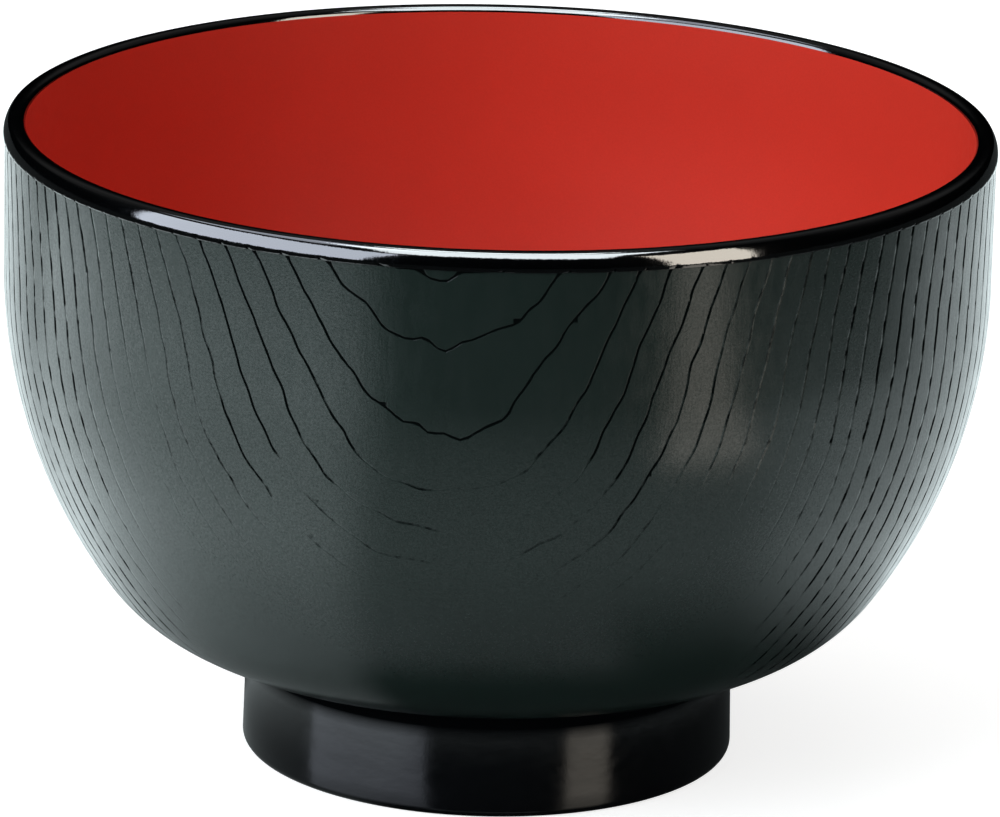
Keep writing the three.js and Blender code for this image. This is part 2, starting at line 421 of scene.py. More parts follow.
def well_path(sizes, depth, steps):
    """Ceiling of the hollow under the bowl under a depth, from the seam to the axis."""
    well = sizes.foot_bottom_radius - sizes.foot_wall - sizes.well_taper
    centre = (well - sizes.well_fillet, sizes.well_depth - sizes.well_fillet)
    ceiling = sizes.well_depth + depth
    return [
        Arc(centre, sizes.well_fillet + depth, 0, QUARTER, steps),
        Line((centre[0], ceiling), (0.0, ceiling), steps),
    ]


# Turning


def pull_tip(mesh, tip, point):
    """Extrudes the tip of an outline to a point given as radius and height."""
    new = bmesh.ops.extrude_vert_indiv(mesh, verts=[tip])["verts"][0]
    move = (point[0] - tip.co.x, 0, point[1] - tip.co.z)
    bmesh.ops.translate(mesh, verts=[new], vec=move)
    return new


def draw_stretch(mesh, tip, stretch):
    """Draws one stretch of an outline on from its tip and gives the new tip."""
    if math.dist((tip.co.x, tip.co.z), stretch.start) > TOUCH:
        tip = pull_tip(mesh, tip, stretch.start)
    if isinstance(stretch, Arc):
        swept = bmesh.ops.spin(
            mesh,
            geom=[tip],
            cent=(stretch.centre[0], 0, stretch.centre[1]),
            axis=(0, -1, 0),
            angle=stretch.finish - stretch.begin,
            steps=stretch.steps,
        )
        return next(item for item in swept["geom_last"] if isinstance(item, bmesh.types.BMVert))
    for step in range(1, stretch.steps + 1):
        share = step / stretch.steps
        across = stretch.start[0] + (stretch.end[0] - stretch.start[0]) * share
        up = stretch.start[1] + (stretch.end[1] - stretch.start[1]) * share
        tip = pull_tip(mesh, tip, (across, up))
    return tip


def turn(path, columns):
    """Turns a closed outline, or one that starts and ends on the axis, into a closed body."""
    mesh = bmesh.new()
    first = mesh.verts.new((path[0].start[0], 0, path[0].start[1]))
    tip = first
    for stretch in path:
        tip = draw_stretch(mesh, tip, stretch)
    if max(abs(tip.co.x), abs(first.co.x)) > TOUCH:
        bmesh.ops.contextual_create(mesh, geom=[tip, first])
    bmesh.ops.spin(
        mesh,
        geom=mesh.verts[:] + mesh.edges[:],
        axis=(0, 0, 1),
        angle=FULL_TURN,
        steps=columns,
        use_merge=True,
    )
    bmesh.ops.remove_doubles(mesh, verts=mesh.verts, dist=WELD)
    bmesh.ops.recalc_face_normals(mesh, faces=mesh.faces)
    mesh.normal_update()
    return mesh


def place(mesh, name, material, node, slot, sharp=SHARP_EDGE):
    """Makes the finished piece from its mesh, on its body and in place of its solid."""
    for face in mesh.faces:
        face.smooth = True
    data = bpy.data.meshes.new(name)
    mesh.to_mesh(data)
    mesh.free()
    data.materials.append(material)
    data.set_sharp_from_angle(angle=math.radians(sharp))
    piece = bpy.data.objects.new(name, data)
    bpy.context.scene.collection.objects.link(piece)
    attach(piece, BODY)
    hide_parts(node)
    return piece


# The open grain

PROBE = 0.02 * MM  # step for measuring how close the rings lie
LEAST_RINGS = 40  # per metre
NEAR_END = 0.04  # a cut this near the end of an edge, as a share of it, takes the end instead
BELLY_MIDDLE = 0.06  # height of a point that the belly's outside faces away from, in metres
FACING_UP = 0.5  # upward part of the direction of a face that belongs to the top of the coat
OFF_OUTLINE = 0.01 * MM  # a point further than this from the smooth outline isn't on it

# Noise that bends, opens and breaks the rings: size of its cells across and upright, and its shift
SWAY_CELL = (21 * MM, 33 * MM, 0)
KINK_CELL = (7 * MM, 11 * MM, 5.0)
JAG_CELL = (2.2 * MM, 3 * MM, 2.0)
PATCH_CELL = (6 * MM, 11 * MM, 3.0)
DASH_CELL = (1.2 * MM, 1.7 * MM, 9.0)
KINK_MEAN = 0.2
PATCH_RANGE = (-0.3, 0.2)
DASH_RANGE = (-0.3, 0.25)

# Heights, in metres, between which the lines of the flat-sawn face get deeper and less broken
FACE_RISE = (0.026, 0.064)
WHOLE_RISE = (0.045, 0.062)
LEAST_WHOLE = 0.2
MORE_WHOLE = 0.55

# How far round, from 0 in front to 1 at the sides, the lines in front end and those of the sides begin
FACE_ENDS = (0.35, 0.6)
SIDE_BEGINS = (0.55, 0.85)
SIDE_SIZES = (0.5, 0.85)
FACE_LOSS = 0.6  # share of their depth that the lines in front lose there
LEAST_DASH = 0.3  # depth between the dashes at the sides
MORE_DASH = 0.4  # and what a dash adds to it


def smooth_step(low, high, value):
    """0 below low, 1 above high and an even curve between."""
    share = min(max((value - low) / (high - low), 0.0), 1.0)
    return share * share * (3 - 2 * share)


def noise_at(point, across, upright, shift):
    """Smooth noise whose cells have one size across the bowl and another upright."""
    return noise.noise(Vector((point.x / across, point.y / across, point.z / upright + shift)))


class Grain:
    """Growth rings of a trunk that stands along the bowl's axis and leans a little."""

    def __init__(self, settings, sizes):
        self.settings = settings
        self.sizes = sizes
        self.out = Vector((math.sin(settings.facing), -math.cos(settings.facing), 0))
        self.right = Vector((-self.out.y, self.out.x, 0))
        self.span = sizes.belly_radius
        self.narrowing = settings.side_spacing - settings.front_spacing
        self.nick_top = sizes.band_low + settings.nick_height

    def stray(self, point):
        """How far the rings stray from a smooth trunk, in metres: a slow sway, kinks and jags."""
        sway = noise_at(point, *SWAY_CELL)
        kink = abs(noise_at(point, *KINK_CELL)) - KINK_MEAN
        jag = noise_at(point, *JAG_CELL)
        settings = self.settings
        return sway * settings.sway + kink * settings.kink + jag * settings.jag

    def depth_in(self, point):
        """Distance of a point out from the trunk's middle, corrected for its lean."""
        below = self.sizes.band_low - point.z
        lean = (self.settings.lean - self.settings.lean_ease * below) * below
        return point.dot(self.out) - lean + self.stray(point)

    def ring(self, point):
        """Number of the ring through a point. Whole numbers are the open lines."""
        depth = self.depth_in(point)
        share = min(abs(depth) / self.span, 1.0)
        spacing = self.settings.side_spacing - self.narrowing * share
        count = self.span / self.narrowing * math.log(self.settings.side_spacing / spacing)
        return math.copysign(count, depth) + self.settings.first_ring

    def rings_per_metre(self, point, normal):
        """How many rings are crossed in a metre straight across them on the surface."""
        aside = normal.orthogonal().normalized()
        along = normal.cross(aside)
        here = self.ring(point)
        slopes = [(self.ring(point + way * PROBE) - here) / PROBE for way in (aside, along)]
        return max(math.hypot(*slopes), LEAST_RINGS)

    def turned(self, point):
        """How far round from the flat-sawn face a point is, from 0 in its middle to 1 at the sides."""
        return abs(point.dot(self.right)) / math.hypot(point.x, point.y)

    def size_here(self, point, front, side):
        """A size of the lines that goes from one value in front to another at the sides."""
        share = smooth_step(*SIDE_SIZES, self.turned(point))
        return front * (1 - share) + side * share

    def half_width(self, point):
        """Half the width of an open line here."""
        return self.size_here(point, self.settings.groove_width, self.settings.side_width)

    def full_depth(self, point):
        """How deep an open line is here where it is fully cut."""
        return self.size_here(point, self.settings.groove_depth, self.settings.side_depth)

    def level(self, vert, side):
        """Ring number at a point of a surface, moved by half a line's width to one side or by none."""
        shift = self.half_width(vert.co) * self.rings_per_metre(vert.co, vert.normal)
        return self.ring(vert.co) + side * shift

    def share(self, vert):
        """How far into an open line a point of a surface is: 1 in its middle and 0 outside it."""
        ring = self.ring(vert.co)
        off = abs(ring - round(ring)) / self.rings_per_metre(vert.co, vert.normal)
        return max(0.0, 1 - off / self.half_width(vert.co))

    def strength(self, point):
        """How deep the line is cut here, from 0 to 1.

        On the flat-sawn face it fades below the rim. At the sides it runs down to the foot in dashes."""
        turned = self.turned(point)
        face = smooth_step(*FACE_RISE, point.z) * (1 - FACE_LOSS * smooth_step(*FACE_ENDS, turned))
        whole = LEAST_WHOLE + MORE_WHOLE * smooth_step(*WHOLE_RISE, point.z)
        patch = smooth_step(*PATCH_RANGE, noise_at(point, *PATCH_CELL))
        side = smooth_step(*SIDE_BEGINS, turned)
        dash = smooth_step(*DASH_RANGE, noise_at(point, *DASH_CELL))
        return max(face * (whole + (1 - whole) * patch), side * (LEAST_DASH + MORE_DASH * dash))

    def nick_strength(self, point):
        """How deep the line is cut in the edge of the rim band, where it runs out upward."""
        return self.strength(point) * (1 - smooth_step(self.sizes.band_low, self.nick_top, point.z))

    def nick_depth(self, _point):
        """How deep a fully cut line is in the edge of the rim band."""
        return self.settings.nick_depth


def split_edges(faces, grain, side):
    """Splits the edges of faces where they cross one side, or the middle, of an open line.

    Gives the points there, with the numbers of their rings."""
    points = {vert for face in faces for vert in face.verts}
    values = {vert: grain.level(vert, side) for vert in points}
    edges = {edge for face in faces for edge in face.edges}
    hits = {}
    for edge in sorted(edges, key=lambda item: item.index):
        start, end = edge.verts
        low, high = values[start], values[end]
        if math.floor(low) == math.floor(high):
            continue
        whole = max(math.floor(low), math.floor(high))
        share = (whole - low) / (high - low)
        if share < NEAR_END:
            hits[start] = whole
        elif share > 1 - NEAR_END:
            hits[end] = whole
        else:
            _, new = bmesh.utils.edge_split(edge, start, share)
            hits[new] = whole
    return hits


def split_face(parts, hits, whole):
    """Splits one of the parts of a face between the two points where a ring crosses it."""
    for part in parts:
        ends = [vert for vert in part.verts if hits.get(vert) == whole]
        if len(ends) != 2:
            continue
        if any(ends[1] in edge.verts for edge in ends[0].link_edges):
            continue
        new_face, _ = bmesh.utils.face_split(part, ends[0], ends[1])
        parts.append(new_face)
        return


def cut_lines(faces, grain, side):
    """Cuts faces along one side, or the middle, of every open line.

    Gives the faces after the cut and the points on it."""
    hits = split_edges(faces, grain, side)
    pieces = []
    for face in faces:
        parts = [face]
        for whole in sorted({hits[vert] for vert in face.verts if vert in hits}):
            split_face(parts, hits, whole)
        pieces.extend(parts)
    return pieces, hits.keys()


def carve_grain(mesh, faces, grain, strength_at, depth_at):
    """Cuts the open rings into faces as grooves, with a strength and a full depth for each point.

    The two layers are made first, since making one ends every hold on the mesh's points."""
    across = mesh.verts.layers.float.new("groove")
    cut = mesh.verts.layers.float.new("cut")
    on_line = {}
    for side in (-1, 1, 0):
        mesh.edges.index_update()
        faces, hits = cut_lines(faces, grain, side)
        on_line.update(dict.fromkeys(hits, 0.0 if side else 1.0))
        mesh.normal_update()
    points = {vert for face in faces for vert in face.verts}
    for vert in points:
        vert[across] = on_line[vert] if vert in on_line else grain.share(vert)
        vert[cut] = strength_at(vert.co)
    for face in faces:
        loose = [vert for vert in face.verts if vert not in on_line]
        if any(vert[across] == 0 for vert in loose):
            for vert in loose:
                vert[across] = 0.0
    for vert in points:
        vert.co -= vert.normal * (vert[across] * vert[cut] * depth_at(vert.co))
    bmesh.ops.triangulate(mesh, faces=[face for face in mesh.faces if len(face.verts) > 4])


def is_outside(face):
    """Whether a face of the belly's coat is on its finished side."""
    middle = face.calc_center_median()
    outward = Vector((middle.x, middle.y, middle.z - BELLY_MIDDLE))
    return face.normal.dot(outward) > 0 and face.normal.z < FACING_UP


def is_band_edge(face, grain):
    """Whether a face of the rim's coat is on the lowest part of the band's face."""
    middle = face.calc_center_median()
    outward = Vector((middle.x, middle.y, 0))
    is_low = middle.z < grain.nick_top and outward.length > grain.sizes.belly_radius
    return is_low and face.normal.dot(outward) > 0


def outline_direction(point, hip, wall):
    """The way that the smooth outline faces at a point on it, and none at a point off it."""
    arc = hip if point.z < wall.start[1] else wall
    out = math.hypot(point.x, point.y)
    across = out - arc.centre[0]
    up = min(point.z - arc.centre[1], 0.0)
    if abs(math.hypot(across, up) - arc.size) > OFF_OUTLINE:
        return NO_DIRECTION
    return Vector((point.x / out * across, point.y / out * across, up)).normalized()


def smooth_belly(data, path):
    """Shades the belly between its open lines by the smooth outline that it was turned from."""
    hip, wall = path[1:3]
    shares = data.attributes["groove"].data
    outward = [outline_direction(vert.co, hip, wall) for vert in data.vertices]
    normals = []
    for face in data.polygons:
        if face.normal.z > FACING_UP:
            normals.extend(NO_DIRECTION for index in face.vertices)
            continue
        in_groove = any(shares[index].value > 0 for index in face.vertices)
        lean = face.normal if in_groove else NO_DIRECTION
        normals.extend((outward[index] + lean).normalized() for index in face.vertices)
    data.normals_split_custom_set(normals)


# Shader nodes

MIX_SHARE, VALUE_A, VALUE_B, COLOUR_A, COLOUR_B = 0, 2, 3, 6, 7  # inputs of a mix node
MIXED_VALUE, MIXED_COLOUR = 0, 2  # and its outputs
NOISE_RANGE = (0.3, 0.7)  # most of a noise pattern lies between these
NOISE_DETAIL = 3.0
FINE_DETAIL = 2.0
NOISE_ROUGHNESS = 0.55


class Nodes:
    """Node calls that the finishes, the floor and the surroundings share."""

    def __init__(self, tree):
        self.tree = tree

    def feed(self, socket, value):
        """Joins an output to an input, or sets the input to a value."""
        if isinstance(value, bpy.types.NodeSocket):
            self.tree.links.new(value, socket)
        else:
            socket.default_value = value

    def add(self, kind, inputs, **properties):
        """Adds a node, with its properties and then its inputs, each an output or a value."""
        node = self.tree.nodes.new(kind)
        for name, value in properties.items():
            setattr(node, name, value)
        for key, value in inputs.items():
            self.feed(node.inputs[key], value)
        return node

    def where(self, kind):
        """Places on an object, or directions in the surroundings."""
        return self.add("ShaderNodeTexCoord", {}).outputs[kind]

    def math(self, operation, *values):
        """Works out one value from others."""
        node = self.add("ShaderNodeMath", dict(enumerate(values)), operation=operation)
        return node.outputs["Value"]

    def vector(self, operation, *values, output="Vector"):
        """Works out a vector, or one value of it, from others."""
        node = self.add("ShaderNodeVectorMath", dict(enumerate(values)), operation=operation)
        return node.outputs[output]

    def ramp(self, value, low, high, span=NOISE_RANGE, kind="LINEAR"):
        """Maps a value within a span to one between low and high."""
        start, end = span
        inputs = {"Value": value, "From Min": start, "From Max": end, "To Min": low, "To Max": high}
        node = self.add("ShaderNodeMapRange", inputs, interpolation_type=kind)
        return node.outputs["Result"]

    def rise(self, value, span):
        """0 below a span, 1 above it and an even curve between."""
        return self.ramp(value, 0.0, 1.0, span, "SMOOTHSTEP")

    def blend(self, share, first, second):
        """Goes from a first value to a second one."""
        inputs = {MIX_SHARE: share, VALUE_A: first, VALUE_B: second}
        return self.add("ShaderNodeMix", inputs).outputs[MIXED_VALUE]

    def mix(self, share, first, second):
        """Goes from a first colour to a second one."""
        inputs = {MIX_SHARE: share, COLOUR_A: first, COLOUR_B: second}
        return self.add("ShaderNodeMix", inputs, data_type="RGBA").outputs[MIXED_COLOUR]


# Finishes


class Gloss(NamedTuple):
    """How rough a finish is, from its smoothest to its roughest spots, and how much it mirrors."""

    smooth: float
    rough: float
    mirror: float = 0.5


BELLY_GLOSS = Gloss(0.18, 0.25, 0.25)
RIM_GLOSS = Gloss(0.05, 0.08)
FOOT_GLOSS = Gloss(0.12, 0.18, 0.25)
BASE_GLOSS = Gloss(0.2, 0.32)
LINING_GLOSS = Gloss(0.40, 0.5, 0.02)
WOOD_GLOSS = Gloss(0.5, 0.7)
HEMP_GLOSS = Gloss(0.7, 0.95)

# Patterns in the finishes, in cells per metre along each axis. A sheen varies the roughness
GROOVE_PORES = (1100, 1100, 900)
BELLY_CLOUD = (90, 90, 45)
BELLY_SHEEN = (900, 900, 300)
BELLY_PORES = (2600, 2600, 420)
BELLY_GRIT = (4300, 4300, 4300)
BLACK_CLOUD = (120, 120, 120)
BLACK_SHEEN = (700, 700, 700)
BRUSH_MARKS = (260, 260, 500)
FINE_GRIT = (4200, 4200, 4200)
LINING_CLOUD = (60, 60, 60)
LINING_SHEEN = (800, 800, 800)
WOOD_RINGS = (40, 130, 12)
WOOD_SHEEN = (900, 900, 120)
WOOD_PORES = (2400, 2400, 260)
HEMP_SHEEN = (1800, 1800, 1800)
WARP_WAVES = 360.0  # in a turn round the bowl
WEFT_TURN = 6300.0  # of a wave, in radians per metre of height

# How dark and how light a cloudy colour gets, as factors
BELLY_TINTS = (0.8, 1.2)
BLACK_TINTS = (0.8, 1.25)
LINING_TINTS = (0.94, 1.05)
SPECK_TINT = 0.8
SPECK_SHARE = 0.25
FLECK_SHINE = (0.7, 1.3)
RING_WAVER = 3.0

# How far a pattern raises the surface
BELLY_RELIEF = 0.008 * MM
BRUSH_RELIEF = 0.02 * MM
POLISH_RELIEF = 0.004 * MM
LINING_RELIEF = 0.012 * MM
WOOD_RELIEF = 0.05 * MM
HEMP_RELIEF = 0.06 * MM

GROOVE_EDGE = (0.0, 0.3)  # share of the way into a line over which it turns dark
GROOVE_CUT = (0.72, 1.12)  # strength and pore noise added up, from a closed line to an open one
FULL_SPAN = (0.0, 1.0)


def paint(shade, factor=1.0):
    """A colour for a node, made lighter or darker."""
    return (*(min(part * factor, 1.0) for part in shade), 1.0)


class Finish(Nodes):
    """A material with the patterns that the finishes here are made of."""

    def __init__(self, name, gloss, sheen):
        self.material = bpy.data.materials.new(name)
        self.material.use_nodes = True
        super().__init__(self.material.node_tree)
        self.surface = self.tree.nodes["Principled BSDF"].inputs
        self.gloss = gloss
        self.surface["Specular IOR Level"].default_value = gloss.mirror
        self.feed(self.surface["Roughness"], self.ramp(self.noise(sheen), gloss.smooth, gloss.rough))

    def stretched(self, cells):
        """Places on the object, stretched to a number of cells per metre along each axis."""
        inputs = {"Vector": self.where("Object"), "Scale": cells}
        return self.add("ShaderNodeMapping", inputs).outputs["Vector"]

    def noise(self, cells, detail=NOISE_DETAIL):
        """A noise pattern with a number of cells per metre along each axis."""
        inputs = {
            "Vector": self.stretched(cells),
            "Scale": 1.0,
            "Detail": detail,
            "Roughness": NOISE_ROUGHNESS,
        }
        return self.add("ShaderNodeTexNoise", inputs).outputs["Fac"]

    def axes(self):
        """The three coordinates of a place on the object."""
        return self.add("ShaderNodeSeparateXYZ", {"Vector": self.where("Object")}).outputs

    def attribute(self, name):
        """A value that the mesh carries for each of its points."""
        return self.add("ShaderNodeAttribute", {}, attribute_name=name).outputs["Fac"]

    def cloudy(self, cells, shade, tints):
        """A colour that varies softly between a darker and a lighter tint."""
        dark, light = tints
        return self.mix(self.noise(cells), paint(shade, dark), paint(shade, light))

    def groove(self):
        """How open the grain is: 1 in the middle of a line. A shallow line breaks up into pores. The share
        darkens the line, partly as painted shade of a narrow crack.
        """
        pores = self.noise(GROOVE_PORES, FINE_DETAIL)
        deep = self.ramp(self.math("ADD", self.attribute("cut"), pores), 0.0, 1.0, GROOVE_CUT)
        return self.math("MULTIPLY", self.ramp(self.attribute("groove"), 0.0, 1.0, GROOVE_EDGE), deep)

    def shine(self, unmirrored, fleck=None):
        """Takes the mirroring away by a share, and makes it uneven by a fleck. At the top of the foot the
        share is painted shade, and in the grain's lines it is partly painted shade.
        """
        shown = self.ramp(unmirrored, self.gloss.mirror, 0.0, FULL_SPAN)
        if fleck is not None:
            shown = self.math("MULTIPLY", shown, self.ramp(fleck, *FLECK_SHINE))
        self.feed(self.surface["Specular IOR Level"], shown)

    def relief(self, *patterns):
        """Raises the surface by patterns, each with its height, one on top of the other."""
        below = {}
        for pattern, height in patterns:
            inputs = {"Height": pattern, "Distance": height, "Strength": 1.0, **below}
            below = {"Normal": self.add("ShaderNodeBump", inputs).outputs["Normal"]}
        self.feed(self.surface["Normal"], below["Normal"])

    def cover(self, shade):
        """Gives the surface its colour."""
        self.feed(self.surface["Base Color"], shade)


def grained_black(colours):
    """Satin black over open grain: dark in the grooves, partly from the grain's matte bottom and partly as
    painted shade, with fine pores along the grain.
    """
    finish = Finish("grained_black_lacquer", BELLY_GLOSS, BELLY_SHEEN)
    groove = finish.groove()
    body = finish.cloudy(BELLY_CLOUD, colours.belly, BELLY_TINTS)
    finish.cover(finish.mix(groove, body, paint(colours.groove)))
    pores = finish.noise(BELLY_PORES, FINE_DETAIL)
    grit = finish.noise(BELLY_GRIT, FINE_DETAIL)
    finish.relief((grit, BELLY_RELIEF), (pores, BELLY_RELIEF))
    finish.shine(groove, grit)
    return finish.material


def smooth_black(name, shade, gloss):
    """Smooth black lacquer with a faint unevenness from the brush and the polish."""
    finish = Finish(name, gloss, BLACK_SHEEN)
    finish.cover(finish.cloudy(BLACK_CLOUD, shade, BLACK_TINTS))
    brush = finish.noise(BRUSH_MARKS, FINE_DETAIL)
    grit = finish.noise(FINE_GRIT, FINE_DETAIL)
    finish.relief((brush, BRUSH_RELIEF), (grit, POLISH_RELIEF))
    return finish


def vermilion(colours):
    """Satin vermilion with an even fine speckle."""
    finish = Finish("vermilion_lacquer", LINING_GLOSS, LINING_SHEEN)
    body = finish.cloudy(LINING_CLOUD, colours.lining, LINING_TINTS)
    speck = finish.noise(FINE_GRIT, FINE_DETAIL)
    specked = finish.ramp(speck, 0.0, SPECK_SHARE)
    finish.cover(finish.mix(specked, body, paint(colours.lining, SPECK_TINT)))
    finish.relief((speck, LINING_RELIEF))
    return finish.material


def turned_wood(colours):
    """Bare turned wood with upright growth rings and pores."""
    finish = Finish("turned_wood", WOOD_GLOSS, WOOD_SHEEN)
    inputs = {
        "Vector": finish.stretched(WOOD_RINGS),
        "Scale": 1.0,
        "Distortion": RING_WAVER,
        "Detail": NOISE_DETAIL,
    }
    rings = finish.add("ShaderNodeTexWave", inputs, wave_type="BANDS", bands_direction="Y")
    finish.cover(finish.mix(rings.outputs["Fac"], paint(colours.pale_wood), paint(colours.wood)))
    finish.relief((finish.noise(WOOD_PORES, FINE_DETAIL), WOOD_RELIEF))
    return finish.material


def hemp_weave(name, colours):
    """Plain woven hemp soaked in lacquer, with threads round the bowl and across them."""
    finish = Finish(name, HEMP_GLOSS, HEMP_SHEEN)
    axes = finish.axes()
    around = finish.math("ARCTAN2", axes["Y"], axes["X"])
    warp = finish.math("SINE", finish.math("MULTIPLY", around, WARP_WAVES))
    weft = finish.math("SINE", finish.math("MULTIPLY", axes["Z"], WEFT_TURN))
    weave = finish.math("MULTIPLY", warp, weft)
    thread = finish.ramp(weave, 0.0, 1.0)
    finish.cover(finish.mix(thread, paint(colours.hemp_gap), paint(colours.hemp)))
    finish.relief((weave, HEMP_RELIEF))
    return finish.material


# Operators, one for each piece or pair of like pieces


class BOWL_OT_turn_core(bpy.types.Operator):
    """Turns the wood core, cut back under each layer that it carries"""

    bl_idname = "bowl.turn_core"
    bl_label = "Turn the core"

    def execute(self, context):
        sizes = context.scene.bowl_sizes
        path = [
            *backwards(well_path(sizes, sizes.coat, HIDDEN_STEPS)),
            *backwards(foot_path(sizes, under_strip(sizes), HIDDEN_STEPS)),
            *belly_path(sizes, sizes.coat, CORE_CURVE),
            *whole_rim_path(sizes, under_strip(sizes)),
            *inside_path(sizes, sizes.coat, CORE_CURVE),
        ]
        material = turned_wood(context.scene.bowl_colours)
        place(turn(path, HIDDEN_COLUMNS), "bowl_core", material, "wood_core", "wood")
        return {"FINISHED"}


class BOWL_OT_lay_cloth(bpy.types.Operator):
    """Lays the hemp strips over the rim and round the foot"""

    bl_idname = "bowl.lay_cloth"
    bl_label = "Lay the cloth"

    def execute(self, context):
        sizes = context.scene.bowl_sizes
        colours = context.scene.bowl_colours
        on_wood = under_strip(sizes)
        path = between(whole_rim_path(sizes, sizes.coat), whole_rim_path(sizes, on_wood))
        strip = turn(path, HIDDEN_COLUMNS)
        place(strip, "rim_strip", hemp_weave("rim_hemp", colours), "rim_cloth", "rim_hemp")
        under_coat = foot_path(sizes, sizes.coat, HIDDEN_STEPS)
        path = between(foot_path(sizes, on_wood, HIDDEN_STEPS), under_coat)
        strip = turn(path, HIDDEN_COLUMNS)
        place(strip, "foot_strip", hemp_weave("foot_hemp", colours), "foot_cloth", "foot_hemp")
        return {"FINISHED"}


class BOWL_OT_coat_belly(bpy.types.Operator):
    """Coats the belly in black and opens its grain"""

    bl_idname = "bowl.coat_belly"
    bl_label = "Coat the belly"

    def execute(self, context):
        scene = context.scene
        sizes = scene.bowl_sizes
        grain = Grain(scene.bowl_grain, sizes)
        outside = belly_path(sizes, 0.0, SHOWN_BELLY)
        path = between(outside, belly_path(sizes, sizes.coat, BONDED_BELLY))
        mesh = turn(path, GRAIN_COLUMNS)
        open_faces = [face for face in mesh.faces if is_outside(face)]
        carve_grain(mesh, open_faces, grain, grain.strength, grain.full_depth)
        material = grained_black(scene.bowl_colours)
        piece = place(mesh, "belly_coat", material, "outer_lacquer", "outer_black", SHARP_GROOVE)
        smooth_belly(piece.data, outside)
        return {"FINISHED"}


class BOWL_OT_coat_rim(bpy.types.Operator):
    """Coats the rim in smooth glossy black"""

    bl_idname = "bowl.coat_rim"
    bl_label = "Coat the rim"

    def execute(self, context):
        scene = context.scene
        sizes = scene.bowl_sizes
        grain = Grain(scene.bowl_grain, sizes)
        bonded = rim_path(sizes, sizes.coat, HIDDEN_STEPS)
        mesh = turn(between(rim_path(sizes, 0.0, SHOWN_STEPS), bonded), GRAIN_COLUMNS)
        edge_faces = [face for face in mesh.faces if is_band_edge(face, grain)]
        carve_grain(mesh, edge_faces, grain, grain.nick_strength, grain.nick_depth)
        finish = smooth_black("rim_black_lacquer", scene.bowl_colours.rim, RIM_GLOSS)
        finish.shine(finish.groove())
        place(mesh, "rim_coat", finish.material, "rim_lacquer", "rim_black")
        return {"FINISHED"}


class BOWL_OT_coat_foot(bpy.types.Operator):
    """Coats the foot ring and the hollow under the bowl in smooth black"""

    bl_idname = "bowl.coat_foot"
    bl_label = "Coat the foot"

    def execute(self, context):
        sizes = context.scene.bowl_sizes
        shade = context.scene.bowl_colours.foot
        shown = foot_path(sizes, 0.0, SHOWN_STEPS)
        mesh = turn(between(foot_path(sizes, sizes.coat, HIDDEN_STEPS), shown), SHOWN_COLUMNS)
        finish = smooth_black("foot_black_lacquer", shade, FOOT_GLOSS)
        # Painted shade: the top of the foot loses its mirroring where the hip shades it
        painted_shade_span = (sizes.painted_shade_low, sizes.painted_shade_high)
        finish.shine(finish.ramp(finish.axes()["Z"], 0.0, 1.0, painted_shade_span))
        place(mesh, "foot_coat", finish.material, "foot_lacquer", "foot_black")
        shown = well_path(sizes, 0.0, SHOWN_STEPS)
        mesh = turn(between(well_path(sizes, sizes.coat, HIDDEN_STEPS), shown), BASE_COLUMNS)
        finish = smooth_black("base_black_lacquer", shade, BASE_GLOSS)
        place(mesh, "base_coat", finish.material, "base_lacquer", "base_black")
        return {"FINISHED"}


class BOWL_OT_line_inside(bpy.types.Operator):
    """Coats the whole inside in vermilion"""

    bl_idname = "bowl.line_inside"
    bl_label = "Line the inside"

    def execute(self, context):
        sizes = context.scene.bowl_sizes
        shown = [
            *rim_inside_path(sizes, 0.0, LINING_EDGE_STEPS),
            *inside_path(sizes, 0.0, SHOWN_LINING),
        ]
        bonded = [
            *rim_inside_path(sizes, sizes.coat, HIDDEN_EDGE_STEPS),
            *inside_path(sizes, sizes.coat, BONDED_LINING),
        ]
        mesh = turn(between(shown, bonded), SHOWN_COLUMNS)
        place(mesh, "lining", vermilion(context.scene.bowl_colours), "inner_lacquer", "vermilion")
        return {"FINISHED"}


# The stage. Azimuths are from the front to the right, in degrees

FLOOR_HALF = 6.0
FLOOR_ROUGHNESS = 0.1
WHITE = (1.0, 1.0, 1.0)
UPWARD = (0.0, 0.0, 1.0)
LEVEL_PART = (1.0, 1.0, 0.0)

# Distances, in metres, over which the light painted on the floor for the gloss changes, including its
# painted shadow round the foot
NEAR_FLOOR = (0.09, 0.28)
SIDE_FAR = (0.17, 0.28)
SHEET_EDGE = (0.30, 0.34)
GLOSSY_FLOOR = (0.055, 0.080)
LEFT_SHADE = (0.032, 0.098)
FOOT_SHADE = (0.043, 0.083)
SHADE_MIDDLE = (0.003, -0.004, 0.0)

# Levels of that painted light beyond its sheet and in the bowl's painted shadow, and its tint in the gloss
BEYOND_SHEET = 0.05
LEAST_LEFT = 0.08
LEAST_SHADE = 0.02
GLOSS_TINT_LESS = (-0.12, 0.0, 0.02)

# Sides of the stage, each a middle azimuth, the turn to either side and the blur of its edges
LEFT_SIDE = (-72, 45, 7)
RIGHT_SIDE = (80, 19, 14)
FLOOR_BEHIND = (170, 70, 12)
BACK_SIDE = (180, 75, 30)
BACK_RISE = (0.25, 0.55)

LAMP_AIM = Vector((0.0, 0.0, 0.05))
LAMP_DISTANCE = 1.2
CARD_LIFT = Vector((0.0, 0.0, 0.001))
COOL = (0.88, 0.96, 1.0)
WARM = (1.0, 0.93, 0.83)
COOL_GLOSS = (0.80, 0.87, 1.0)
WARM_GLOSS = (1.0, 0.92, 0.80)

SENSOR_WIDTH = 36.0  # millimetres
NEAREST_SEEN = 0.01


